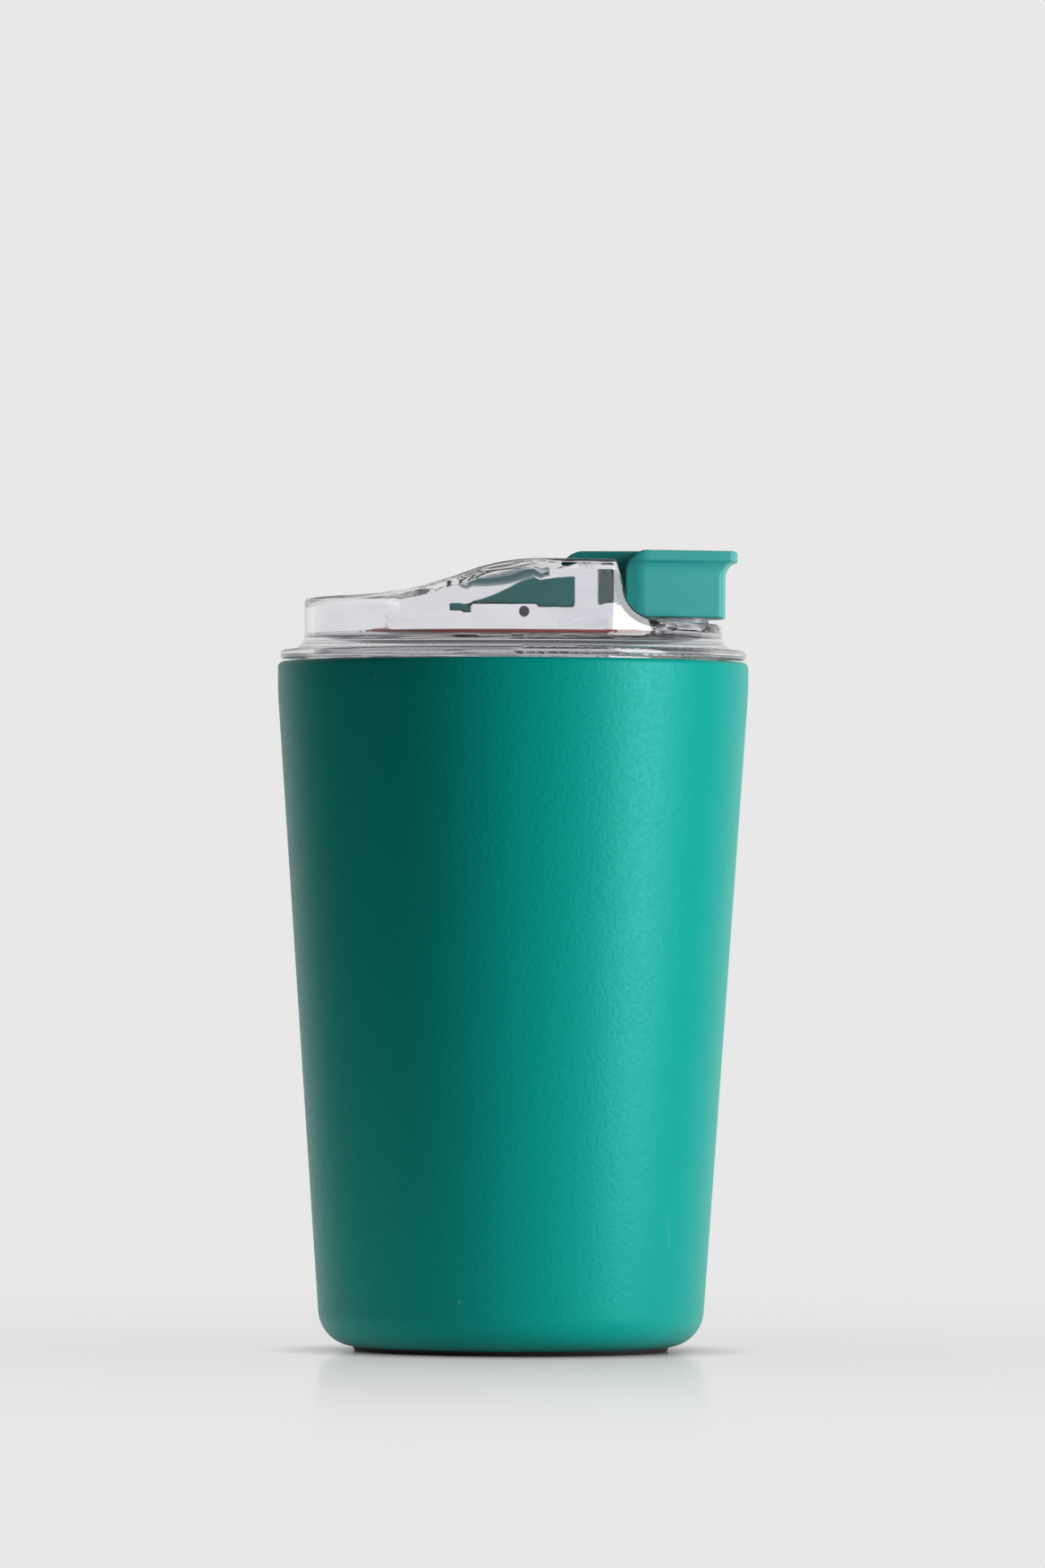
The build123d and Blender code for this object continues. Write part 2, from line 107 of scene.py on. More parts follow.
def finishMesh(piece, sharpAngle, weld=0.002):
    startEdit(piece)
    bpy.ops.mesh.select_all(action="SELECT")
    bpy.ops.mesh.remove_doubles(threshold=weld * mm)
    bpy.ops.mesh.normals_make_consistent(inside=False)
    bpy.ops.object.mode_set(mode="OBJECT")
    bpy.ops.object.transform_apply(location=True, rotation=True, scale=True)
    bpy.ops.object.shade_smooth_by_angle(angle=math.radians(sharpAngle))


def roundedOutline(corners, degreesPerStep=9):
    # corners are (radius, height, rounding); roundings turn into short arcs
    outline = []
    count = len(corners)
    for index, (radius, height, rounding) in enumerate(corners):
        before = corners[index - 1]
        after = corners[(index + 1) % count]
        if rounding <= 0:
            outline.append((radius, height))
            continue
        inX, inZ = radius - before[0], height - before[1]
        outX, outZ = after[0] - radius, after[1] - height
        inLength, outLength = math.hypot(inX, inZ), math.hypot(outX, outZ)
        inX, inZ, outX, outZ = inX / inLength, inZ / inLength, outX / outLength, outZ / outLength
        turn = math.atan2(inX * outZ - inZ * outX, inX * outX + inZ * outZ)
        reach = rounding * math.tan(abs(turn) / 2)
        startX, startZ = radius - inX * reach, height - inZ * reach
        side = math.copysign(1, turn)
        centreX, centreZ = startX - inZ * rounding * side, startZ + inX * rounding * side
        steps = max(3, round(abs(math.degrees(turn)) / degreesPerStep))
        for step in range(steps + 1):
            angle = turn * step / steps
            fromX, fromZ = startX - centreX, startZ - centreZ
            outline.append((centreX + fromX * math.cos(angle) - fromZ * math.sin(angle),
                            centreZ + fromX * math.sin(angle) + fromZ * math.cos(angle)))
    return outline


def turnOutline(name, outline, closed):
    # a ring is extruded, moved and scaled from point to point of the half section
    radius, height = outline[0]
    deselectAll()
    bpy.ops.mesh.primitive_circle_add(vertices=circleSteps, radius=radius * mm, location=(0, 0, height * mm))
    piece = bpy.context.object
    piece.name = name
    bpy.ops.object.mode_set(mode="EDIT")
    bpy.ops.mesh.select_mode(type="EDGE")
    bpy.ops.mesh.select_all(action="SELECT")
    for nextRadius, nextHeight in outline[1:] + (outline[:1] if closed else []):
        bpy.ops.mesh.extrude_edges_move(TRANSFORM_OT_translate={"value": (0, 0, (nextHeight - height) * mm)})
        scale = nextRadius / radius
        bpy.ops.transform.resize(value=(scale, scale, 1), center_override=(0, 0, nextHeight * mm))
        radius, height = nextRadius, nextHeight
    bpy.ops.mesh.select_all(action="SELECT")
    bpy.ops.mesh.remove_doubles(threshold=0.002 * mm)
    if not closed:
        bpy.ops.mesh.fill_holes(sides=0)
    finishMesh(piece, 35)
    return piece


def meshCopy(node, name):
    # the CAD node's own shape, welded and smoothed
    piece = bpy.data.objects.new(name, frame["nodes"][node].data.copy())
    bpy.context.scene.collection.objects.link(piece)
    deselectAll()
    piece.select_set(True)
    bpy.context.view_layer.objects.active = piece
    bpy.ops.mesh.customdata_custom_splitnormals_clear()
    finishMesh(piece, 30)
    return piece


def dress(piece, slot):
    piece.data.materials.clear()
    piece.data.materials.append(materials[slot])


def handOver(piece, node, body, slot):
    dress(piece, slot)
    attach(piece, body)
    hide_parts(node)


def newGroup(name, inputs, outputs):
    group = bpy.data.node_groups.new(name, "ShaderNodeTree")
    for socketName, kind, value in inputs:
        socket = group.interface.new_socket(name=socketName, in_out="INPUT", socket_type=kind)
        socket.default_value = value
    for socketName, kind in outputs:
        group.interface.new_socket(name=socketName, in_out="OUTPUT", socket_type=kind)
    start = group.nodes.new("NodeGroupInput")
    end = group.nodes.new("NodeGroupOutput")
    return group, start, end


def mathNode(tree, operation, first, second=None, clamp=False):
    node = tree.nodes.new("ShaderNodeMath")
    node.operation = operation
    node.use_clamp = clamp
    for socket, value in zip(node.inputs, (first, second)):
        if value is None:
            continue
        if isinstance(value, (int, float)):
            socket.default_value = value
        else:
            tree.links.new(value, socket)
    return node.outputs[0]


def noiseNode(tree, vector, scale, detail=2, roughness=0.5):
    node = tree.nodes.new("ShaderNodeTexNoise")
    tree.links.new(vector, node.inputs["Vector"])
    if isinstance(scale, (int, float)):
        node.inputs["Scale"].default_value = scale
    else:
        tree.links.new(scale, node.inputs["Scale"])
    node.inputs["Detail"].default_value = detail
    node.inputs["Roughness"].default_value = roughness
    return node.outputs["Fac"]


def rangeNode(tree, value, fromLow, fromHigh, toLow=0, toHigh=1):
    node = tree.nodes.new("ShaderNodeMapRange")
    tree.links.new(value, node.inputs["Value"])
    for key, number in (("From Min", fromLow), ("From Max", fromHigh), ("To Min", toLow), ("To Max", toHigh)):
        if isinstance(number, (int, float)):
            node.inputs[key].default_value = number
        else:
            tree.links.new(number, node.inputs[key])
    return node.outputs["Result"]


def colorMix(tree, factor, first, second):
    node = tree.nodes.new("ShaderNodeMix")
    node.data_type = "RGBA"
    for socket, value in ((node.inputs[0], factor), (node.inputs[6], first), (node.inputs[7], second)):
        if isinstance(value, (int, float, tuple)):
            socket.default_value = value
        else:
            tree.links.new(value, socket)
    return node.outputs[2]


def makeGrainGroup():
    # two sizes of soft bumps, for powder coat, moulded plastic and rubber
    group, start, end = newGroup(
        "surfaceGrain",
        [("Coarse Scale", "NodeSocketFloat", 1200.0), ("Fine Scale", "NodeSocketFloat", 3000.0),
         ("Fine Share", "NodeSocketFloat", 0.35)],
        [("Height", "NodeSocketFloat"), ("Mask", "NodeSocketFloat")])
    spot = group.nodes.new("ShaderNodeTexCoord").outputs["Object"]
    coarse = noiseNode(group, spot, start.outputs["Coarse Scale"], 1.5, 0.4)
    fine = noiseNode(group, spot, start.outputs["Fine Scale"], 1, 0.5)
    fineShare = mathNode(group, "MULTIPLY", fine, start.outputs["Fine Share"])
    height = mathNode(group, "ADD", coarse, fineShare)
    group.links.new(height, end.inputs["Height"])
    group.links.new(rangeNode(group, coarse, 0.35, 0.65), end.inputs["Mask"])
    return group


def makeScuffGroup():
    # sparse hairline scratches and specks of dust
    group, start, end = newGroup(
        "scuffsAndDust",
        [("Scratch Scale", "NodeSocketFloat", 60.0), ("Speck Scale", "NodeSocketFloat", 260.0),
         ("Amount", "NodeSocketFloat", 1.0)],
        [("Scratches", "NodeSocketFloat"), ("Specks", "NodeSocketFloat")])
    spot = group.nodes.new("ShaderNodeTexCoord").outputs["Object"]
    turn = group.nodes.new("ShaderNodeMapping")
    turn.inputs["Rotation"].default_value = (0.4, 0.9, 0.3)
    turn.inputs["Scale"].default_value = (1, 1, 0.03)
    group.links.new(spot, turn.inputs["Vector"])
    lines = noiseNode(group, turn.outputs["Vector"], start.outputs["Scratch Scale"], 0, 0.5)
    thin = mathNode(group, "ABSOLUTE", mathNode(group, "SUBTRACT", lines, 0.5))
    lineMask = rangeNode(group, thin, 0.0, 0.0012, 1, 0)
    patches = rangeNode(group, noiseNode(group, spot, 120.0, 1, 0.5), 0.68, 0.72)
    scratches = mathNode(group, "MULTIPLY", mathNode(group, "MULTIPLY", lineMask, patches),
                         start.outputs["Amount"])
    cells = group.nodes.new("ShaderNodeTexVoronoi")
    cells.feature = "F1"
    group.links.new(spot, cells.inputs["Vector"])
    group.links.new(start.outputs["Speck Scale"], cells.inputs["Scale"])
    near = rangeNode(group, cells.outputs["Distance"], 0.05, 0.09, 1, 0)
    rare = mathNode(group, "GREATER_THAN", noiseNode(group, cells.outputs["Position"], 900.0, 0, 0.5), 0.72)
    specks = mathNode(group, "MULTIPLY", mathNode(group, "MULTIPLY", near, rare), start.outputs["Amount"])
    group.links.new(scratches, end.inputs["Scratches"])
    group.links.new(specks, end.inputs["Specks"])
    return group


def makeEdgeGroup():
    # pale line where an edge is rubbed, from the surface's pointiness and a breakup noise
    group, start, end = newGroup(
        "edgeRub",
        [("Low", "NodeSocketFloat", 0.52), ("High", "NodeSocketFloat", 0.6),
         ("Breakup Scale", "NodeSocketFloat", 300.0)],
        [("Mask", "NodeSocketFloat")])
    pointy = group.nodes.new("ShaderNodeNewGeometry").outputs["Pointiness"]
    spot = group.nodes.new("ShaderNodeTexCoord").outputs["Object"]
    edge = rangeNode(group, pointy, start.outputs["Low"], start.outputs["High"])
    breakup = rangeNode(group, noiseNode(group, spot, start.outputs["Breakup Scale"], 3, 0.6), 0.4, 0.6)
    group.links.new(mathNode(group, "MULTIPLY", edge, breakup, True), end.inputs["Mask"])
    return group


grainGroup = makeGrainGroup()
scuffGroup = makeScuffGroup()
edgeGroup = makeEdgeGroup()
print("shader groups ready")


def newMaterial(name, **sockets):
    material = bpy.data.materials.new(name)
    material.use_nodes = True
    shader = material.node_tree.nodes["Principled BSDF"]
    for key, value in sockets.items():
        shader.inputs[key.replace("_", " ")].default_value = value
    return material, material.node_tree, shader


def groupNode(tree, group, **values):
    node = tree.nodes.new("ShaderNodeGroup")
    node.node_tree = group
    for key, value in values.items():
        node.inputs[key.replace("_", " ")].default_value = value
    return node


def bumpFrom(tree, shader, height, strength, distance):
    bump = tree.nodes.new("ShaderNodeBump")
    bump.inputs["Strength"].default_value = strength
    bump.inputs["Distance"].default_value = distance * mm
    tree.links.new(height, bump.inputs["Height"])
    tree.links.new(bump.outputs["Normal"], shader.inputs["Normal"])


def powderCoat():
    look = {"base": (0.0, 0.40, 0.335, 1), "worn": (0.0, 0.43, 0.365, 1), "scratch": (0.35, 0.55, 0.52, 1),
            "speck": (0.45, 0.6, 0.58, 1), "sheen": (0.22, 1, 1, 1), "roughness": 0.4}
    material, tree, shader = newMaterial("powderCoatTeal", Roughness=look["roughness"],
                                         Specular_IOR_Level=0.45, Specular_Tint=look["sheen"])
    grain = groupNode(tree, grainGroup, Coarse_Scale=1300.0, Fine_Scale=3600.0, Fine_Share=0.4)
    scuffs = groupNode(tree, scuffGroup, Scratch_Scale=46.0, Speck_Scale=240.0, Amount=0.8)
    spot = tree.nodes.new("ShaderNodeTexCoord").outputs["Object"]
    cloud = rangeNode(tree, noiseNode(tree, spot, 30.0, 3, 0.55), 0.3, 0.7, 0.0, 0.10)
    base = colorMix(tree, cloud, look["base"], look["worn"])
    scratched = colorMix(tree, mathNode(tree, "MULTIPLY", scuffs.outputs["Scratches"], 0.35), base,
                         look["scratch"])
    speckled = colorMix(tree, mathNode(tree, "MULTIPLY", scuffs.outputs["Specks"], 0.6), scratched,
                        look["speck"])
    tree.links.new(speckled, shader.inputs["Base Color"])
    rough = rangeNode(tree, grain.outputs["Mask"], 0, 1, look["roughness"] - 0.03, look["roughness"] + 0.05)
    tree.links.new(rough, shader.inputs["Roughness"])
    bumpFrom(tree, shader, grain.outputs["Height"], 0.8, 0.07)
    return material


def steel(name, base, roughness, brushScale):
    material, tree, shader = newMaterial(name, Metallic=1.0, Roughness=roughness, Base_Color=base)
    spot = tree.nodes.new("ShaderNodeTexCoord").outputs["Object"]
    stretch = tree.nodes.new("ShaderNodeMapping")
    stretch.inputs["Scale"].default_value = (1, 1, 14)
    tree.links.new(spot, stretch.inputs["Vector"])
    lines = noiseNode(tree, stretch.outputs["Vector"], brushScale, 3, 0.6)
    tree.links.new(rangeNode(tree, lines, 0.3, 0.7, roughness - 0.06, roughness + 0.08),
                   shader.inputs["Roughness"])
    darker = tuple(0.86 * part for part in base[:3]) + (1,)
    tint = colorMix(tree, rangeNode(tree, lines, 0.35, 0.65), base, darker)
    tree.links.new(tint, shader.inputs["Base Color"])
    bumpFrom(tree, shader, lines, 0.08, 0.02)
    return material


def softMoulded(name, base, second, roughness, coarse=900.0, bump=0.15, **sockets):
    # silicone, rubber and satin plastic: a little mottled, lightly grained, paler on rubbed edges
    material, tree, shader = newMaterial(name, Roughness=roughness, **sockets)
    grain = groupNode(tree, grainGroup, Coarse_Scale=coarse, Fine_Scale=3.2 * coarse, Fine_Share=0.3)
    rub = groupNode(tree, edgeGroup, Low=0.53, High=0.62, Breakup_Scale=350.0)
    spot = tree.nodes.new("ShaderNodeTexCoord").outputs["Object"]
    cloud = rangeNode(tree, noiseNode(tree, spot, 60.0, 2, 0.5), 0.3, 0.7)
    mottled = colorMix(tree, cloud, base, second)
    pale = tuple(min(1.0, part * 1.25 + 0.02) for part in base[:3]) + (1,)
    rubbed = colorMix(tree, mathNode(tree, "MULTIPLY", rub.outputs["Mask"], 0.5), mottled, pale)
    tree.links.new(rubbed, shader.inputs["Base Color"])
    tree.links.new(rangeNode(tree, grain.outputs["Mask"], 0, 1, roughness - 0.03, roughness + 0.05),
                   shader.inputs["Roughness"])
    bumpFrom(tree, shader, grain.outputs["Height"], bump, 0.02)
    return material


def clearPlastic():
    material, tree, shader = newMaterial("clearCopolyester", Base_Color=(0.965, 0.965, 0.985, 1),
                                         Transmission_Weight=1.0, IOR=1.54, Roughness=0.02)
    scuffs = groupNode(tree, scuffGroup, Scratch_Scale=90.0, Speck_Scale=420.0, Amount=1.0)
    spot = tree.nodes.new("ShaderNodeTexCoord").outputs["Object"]
    flow = noiseNode(tree, spot, 55.0, 1, 0.4)
    marks = mathNode(tree, "MAXIMUM", scuffs.outputs["Scratches"], scuffs.outputs["Specks"])
    tree.links.new(rangeNode(tree, marks, 0, 1, 0.02, 0.3), shader.inputs["Roughness"])
    bumpFrom(tree, shader, flow, 0.12, 0.12)
    return material


def plainMetal(name, base, roughness, scale):
    material, tree, shader = newMaterial(name, Metallic=1.0, Roughness=roughness)
    spot = tree.nodes.new("ShaderNodeTexCoord").outputs["Object"]
    crumple = noiseNode(tree, spot, scale, 4, 0.6)
    dark = tuple(0.75 * part for part in base[:3]) + (1,)
    tree.links.new(colorMix(tree, rangeNode(tree, crumple, 0.35, 0.65), base, dark),
                   shader.inputs["Base Color"])
    tree.links.new(rangeNode(tree, crumple, 0.3, 0.7, roughness - 0.05, roughness + 0.1),
                   shader.inputs["Roughness"])
    bumpFrom(tree, shader, crumple, 0.3, 0.05)
    return material


materials = {
    "powder_coat": powderCoat(),
    "liner_steel": steel("linerSteel", (0.60, 0.60, 0.58, 1), 0.28, 420.0),
    "copper_foil": plainMetal("copperFoil", (0.80, 0.42, 0.28, 1), 0.25, 300.0),
    "solder": plainMetal("solderBead", (0.55, 0.55, 0.56, 1), 0.35, 900.0),
    "getter_metal": plainMetal("sinteredGetter", (0.16, 0.16, 0.17, 1), 0.7, 2500.0),
    "foot_rubber": softMoulded("footRubber", (0.035, 0.031, 0.028, 1), (0.05, 0.045, 0.04, 1), 0.55),
    "adhesive": softMoulded("adhesiveFilm", (0.72, 0.70, 0.62, 1), (0.66, 0.64, 0.57, 1), 0.5),
    "clear_lid": clearPlastic(),
    "seal_silicone": softMoulded("rustSilicone", (0.85, 0.13, 0.04, 1), (0.74, 0.11, 0.035, 1), 0.42),
    "lever_plastic": softMoulded("satinTealPlastic", (0.025, 0.43, 0.41, 1), (0.03, 0.45, 0.43, 1), 0.38,
                                 coarse=1500.0, bump=0.05),
    "pin_steel": plainMetal("drawnPin", (0.12, 0.13, 0.14, 1), 0.35, 1500.0),
    "plug_silicone": softMoulded("clearSilicone", (0.82, 0.84, 0.87, 1), (0.78, 0.80, 0.84, 1), 0.3,
                                 bump=0.04, Transmission_Weight=0.75, IOR=1.41),
}
print("materials ready")

shell = {"taper": 3.93, "taperTop": 118.9, "blend": 60.0, "heel": 6.7, "rimCorner": 1.0, "wall": 0.8}
liner = {"wall": 0.8, "shoulder": 110.7, "corner": 8.0, "lip": 0.3}
lean = math.tan(math.radians(shell["taper"]))


def makeShell():
    high = boxMm("outer_shell")[1]
    lip = boxMm("inner_liner")[1][0]
    hem = boxMm("base_disc")[1][0]
    rim, top, wall, heel = high[0], high[2], shell["wall"], shell["heel"]
    bottom = boxMm("foot_pad")[1][2] - boxMm("pad_adhesive")[1][2] + 1.0
    heelRadius = rim - (shell["taperTop"] - bottom) * lean
    outline = roundedOutline([
        (heelRadius - 2 * heel, bottom, 0), (heelRadius, bottom, heel),
        (rim, shell["taperTop"], shell["blend"]),
        (rim, top, shell["rimCorner"]), (lip, top, 0), (lip, top - wall, 0), (rim - wall, top - wall, 0.2),
        (rim - wall, shell["taperTop"], shell["blend"]), (heelRadius - wall, bottom + wall, heel - wall),
        (heelRadius - 2 * heel, bottom + wall, 0)], 6)
    outline = [(max(radius, hem), height) for radius, height in outline]
    piece = turnOutline("shellPainted", outline, closed=True)
    handOver(piece, "outer_shell", "cup", "powder_coat")


def makeLiner():
    low, high = boxMm("inner_liner")
    wall, corner, shoulder, top = liner["wall"], liner["corner"], liner["shoulder"], high[2]
    bore = high[0] - wall
    floor = low[2] + wall
    insideHeel = bore - (shoulder - floor) * lean
    outline = roundedOutline([
        (1.0, floor, 0), (insideHeel, floor, corner), (bore, shoulder, 12.0), (bore, top, liner["lip"]),
        (high[0], top, 0), (high[0], shoulder, 12.0), (insideHeel + wall, low[2], corner + wall),
        (1.0, low[2], 0)], 6)
    piece = turnOutline("linerDrawn", outline, closed=False)
    handOver(piece, "inner_liner", "cup", "liner_steel")


def makeFoot():
    high = boxMm("foot_pad")[1]
    foot = {"ground": 28.2, "edge": 0.25, "hollow": 18.0, "hollowDepth": 0.3, "shelf": 0.8, "spigot": 28.1}
    outline = roundedOutline([
        (1.0, foot["hollowDepth"], 0), (foot["hollow"], foot["hollowDepth"], 0.4),
        (foot["hollow"] + 1, 0, 0.4),
        (foot["ground"], 0, foot["edge"]), (high[0], foot["shelf"], 0.06), (foot["spigot"], foot["shelf"], 0),
        (foot["spigot"], high[2], 0.2), (1.0, high[2], 0)], 12)
    piece = turnOutline("footMoulded", outline, closed=False)
    handOver(piece, "foot_pad", "cup", "foot_rubber")


makeShell()
makeLiner()
makeFoot()
print("cup ready")


def makeSeal():
    low, high = boxMm("plug_seal")
    seal = {"root": 36.1, "web": 37.7, "lip": 1.2, "edge": 0.4}
    tip, bottom, top, lip, edge = high[0], low[2], high[2], seal["lip"], seal["edge"]
    outline = roundedOutline([
        (seal["root"], bottom, 0), (tip, bottom, edge), (tip, bottom + lip, edge),
        (seal["web"], bottom + lip, 0.2),
        (seal["web"], top - lip, 0.2), (tip, top - lip, edge), (tip, top, edge), (seal["root"], top, 0)], 15)
    piece = turnOutline("mouthSeal", outline, closed=True)
    handOver(piece, "plug_seal", "lid", "seal_silicone")


def makeGasket():
    low, high = boxMm("lid_gasket")
    gasket = {"width": 2.6, "edge": 0.5}
    inner, outer = high[0] - gasket["width"], high[0]
    outline = roundedOutline([
        (inner, low[2], 0), (outer, low[2], 0.1), (outer, high[2], gasket["edge"]),
        (inner, high[2], gasket["edge"])], 15)
    piece = turnOutline("middleGasket", outline, closed=True)
    handOver(piece, "lid_gasket", "lid", "seal_silicone")


def makeClearParts():
    for node, name in (("lid_cover", "coverClear"), ("lid_base", "plugClear")):
        handOver(meshCopy(node, name), node, "lid", "clear_lid")


def makeCarrier():
    carrier = meshCopy("hinge_carrier", "carrierMoulded")
    useModifier(carrier, "BEVEL", width=0.35 * mm, segments=3, limit_method="ANGLE")
    handOver(carrier, "hinge_carrier", "lid", "lever_plastic")


makeSeal()
makeGasket()
makeClearParts()
makeCarrier()
print("lid ready")


lever = {
    "bodyX": 20.1, "bodyHalf": 13.0, "bodyEnd": 38.3, "bodySteps": 288, "heel": 5.0, "toe": 2.0,
    "corner": 2.8, "shoulder": 1.2, "brow": 4.2, "browSteps": 9, "straight": 3.0, "taper": 20.0,
    "turnBlend": 0.8, "coveLow": 139.3, "coveHigh": 142.3, "coveSteps": 6, "plateEdge": 0.55,
    "neckBack": 15.3, "neckFront": 19.1, "neckLow": 134.0, "webStep": 3.2, "neckHalf": 6.0,
    "tailGap": 0.15, "tailSlope": 1.6, "tailRound": 2.0, "trunnion": 1.0, "trunnionReach": 8.2,
    "voxel": 0.22, "smoothing": 7,
}


def endCorner(end, turnX, half, lean):
    # where the drawn-in side meets the round free end
    slope = math.tan(lean)
    start = half + turnX * slope
    middle = start * slope
    reach = math.sqrt(middle ** 2 - (1 + slope ** 2) * (start ** 2 - end ** 2))
    x = (middle + reach) / (1 + slope ** 2)
    return x, start - x * slope


def makeLeverBody(bottom):
    bodyX, half, end = lever["bodyX"], lever["bodyHalf"], lever["bodyEnd"]
    coveLow = lever["coveLow"]
    deselectAll()
    bpy.ops.mesh.primitive_cylinder_add(vertices=lever["bodySteps"], radius=end * mm,
                                        depth=(coveLow - bottom) * mm,
                                        location=(0, 0, (bottom + coveLow) / 2 * mm))
    body = bpy.context.object
    body.name = "leverMoulded"
    bpy.ops.object.transform_apply(location=True)
    bpy.ops.object.mode_set(mode="EDIT")
    turnX, lean = bodyX + lever["straight"], math.radians(lever["taper"])
    cuts = [((bodyX, 0, 0), (-1, 0, 0))]
    for side in (1, -1):
        cuts.append(((turnX, side * half, 0), (0, side, 0)))
        cuts.append(((turnX, side * half, 0), (math.sin(lean), side * math.cos(lean), 0)))
    for spot, direction in cuts:
        bpy.ops.mesh.select_all(action="SELECT")
        bpy.ops.mesh.bisect(plane_co=[part * mm for part in spot], plane_no=direction, use_fill=True,
                            clear_outer=True)
    endX, endY = endCorner(end, turnX, half, lean)
    for spotX, spotY, size in ((turnX, half, "turnBlend"), (endX, endY, "corner")):
        pickEdges(body, lambda a, b: abs(a.x - b.x) < near and abs(a.x - spotX) < 0.1
                  and abs(abs(a.y) - spotY) < 0.1 and abs(a.z - b.z) > 1)
        bevelPicked(lever[size], 8)
    pickEdges(body, lambda a, b: abs(a.x - bodyX) < near and abs(b.x - bodyX) < near
              and abs(a.z - bottom) < near and abs(b.z - bottom) < near)
    bevelPicked(lever["heel"], 14)
    pickEdges(body, lambda a, b: abs(a.z - bottom) < near and abs(b.z - bottom) < near
              and max(a.x, b.x) > bodyX + lever["heel"] + 2 * near)
    bevelPicked(lever["toe"], 6)
    return body


def shapeCove(body, low, high):
    # the top face grows outwards step by step, then turns up into the plate
    bodyX, half, end = lever["bodyX"], lever["bodyHalf"], lever["bodyEnd"]
    coveLow, coveHigh = lever["coveLow"], lever["coveHigh"]
    pickFaces(body, lambda centre, normal: normal.z > 0.9 and centre.z > coveLow - 0.1)
    length, width = end - bodyX, half
    height = coveLow
    for step in range(1, lever["coveSteps"] + 1):
        angle = math.pi / 2 * step / lever["coveSteps"]
        nextLength = (end - bodyX) + (high[0] - end) * (1 - math.cos(angle))
        nextWidth = half + (high[1] - half) * (1 - math.cos(angle))
        nextHeight = coveLow + (coveHigh - coveLow) * math.sin(angle)
        bpy.ops.mesh.extrude_region_move(TRANSFORM_OT_translate={"value": (0, 0, (nextHeight - height) * mm)})
        bpy.ops.transform.resize(value=(nextLength / length, nextWidth / width, 1),
                                 center_override=(bodyX * mm, 0, nextHeight * mm))
        length, width, height = nextLength, nextWidth, nextHeight
    bpy.ops.mesh.extrude_region_move(TRANSFORM_OT_translate={"value": (0, 0, (high[2] - height) * mm)})
    # the end towards the bridge is rounded off under the tail, then its outline is softened
    brow, heel = lever["brow"], lever["heel"]
    browX, browZ = bodyX + brow, high[2] - brow
    heelX, heelZ = bodyX + heel, low[2] + heel
    for step in range(1, lever["browSteps"] + 1):
        angle = math.radians(90 * step / (lever["browSteps"] + 1))
        outward = (-math.cos(angle), 0, math.sin(angle))
        bpy.ops.mesh.select_all(action="SELECT")
        bpy.ops.mesh.bisect(plane_co=((browX + brow * outward[0]) * mm, 0, (browZ + brow * outward[2]) * mm),
                            plane_no=outward, use_fill=True, clear_outer=True)

    def onEnd(spot):
        if spot.z > browZ:
            return abs(math.hypot(spot.x - browX, spot.z - browZ) - brow) < 0.06
        if spot.z < heelZ:
            return abs(math.hypot(spot.x - heelX, spot.z - heelZ) - heel) < 0.06
        return spot.x < bodyX + near

    pickEdges(body, lambda a, b: min(abs(a.y), abs(b.y)) > half - near and a.y * b.y > 0
              and onEnd(a) and onEnd(b) and abs(a.z - b.z) > 0.001)
    bevelPicked(lever["shoulder"], 5)
    pickEdges(body, lambda a, b: min(a.z, b.z) > high[2] - near and max(a.x, b.x) > bodyX + near)
    bevelPicked(lever["plateEdge"], 4)
    bpy.ops.object.mode_set(mode="OBJECT")


def addBlock(lowCorner, highCorner):
    deselectAll()
    centre = [(a + b) / 2 * mm for a, b in zip(lowCorner, highCorner)]
    bpy.ops.mesh.primitive_cube_add(size=1, location=centre)
    block = bpy.context.object
    block.scale = [(b - a) * mm for a, b in zip(lowCorner, highCorner)]
    bpy.ops.object.transform_apply(location=True, scale=True)
    return block


def makeTail(low, high):
    tailLow = boxMm("lid_cover")[1][2] + lever["tailGap"]
    half, bodyX = lever["neckHalf"], lever["bodyX"]
    tail = addBlock((low[0], -half, tailLow), (bodyX + lever["brow"] + 1, half, high[2]))
    startEdit(tail)
    pickEdges(tail, lambda a, b: a.x < low[0] + near and b.x < low[0] + near
              and a.z > high[2] - near and b.z > high[2] - near)
    bpy.ops.transform.translate(value=(lever["tailSlope"] * mm, 0, 0))
    bevelPicked(lever["tailRound"], 6)
    bpy.ops.object.mode_set(mode="OBJECT")
    neck = addBlock((lever["neckBack"], -half, lever["neckLow"]), (lever["neckFront"], half, high[2] - 0.5))
    web = addBlock((lever["neckFront"] - 0.5, -half, lever["neckLow"] + lever["webStep"]),
                   (bodyX + 1, half, high[2] - 0.5))
    deselectAll()
    bpy.ops.mesh.primitive_cylinder_add(vertices=48, radius=lever["trunnion"] * mm,
                                        depth=2 * lever["trunnionReach"] * mm, location=hinge,
                                        rotation=(math.pi / 2, 0, 0))
    trunnion = bpy.context.object
    bpy.ops.object.transform_apply(location=True, rotation=True)
    return [tail, neck, web, trunnion]


def makeLever():
    low, high = boxMm("lever")
    body = makeLeverBody(low[2])
    shapeCove(body, low, high)
    pieces = makeTail(low, high)
    deselectAll()
    for piece in pieces + [body]:
        piece.select_set(True)
    bpy.context.view_layer.objects.active = body
    bpy.ops.object.join()
    useModifier(body, "REMESH", mode="VOXEL", voxel_size=lever["voxel"] * mm)
    useModifier(body, "SMOOTH", factor=0.5, iterations=lever["smoothing"])
    finishMesh(body, 60, 0.001)
    handOver(body, "lever", "flip_lever", "lever_plastic")


def makeSipPlug():
    plug = meshCopy("sip_plug", "plugMoulded")
    useModifier(plug, "BEVEL", width=0.2 * mm, segments=3, limit_method="ANGLE")
    handOver(plug, "sip_plug", "flip_lever", "plug_silicone")


makeLever()
makeSipPlug()
print("lever ready")

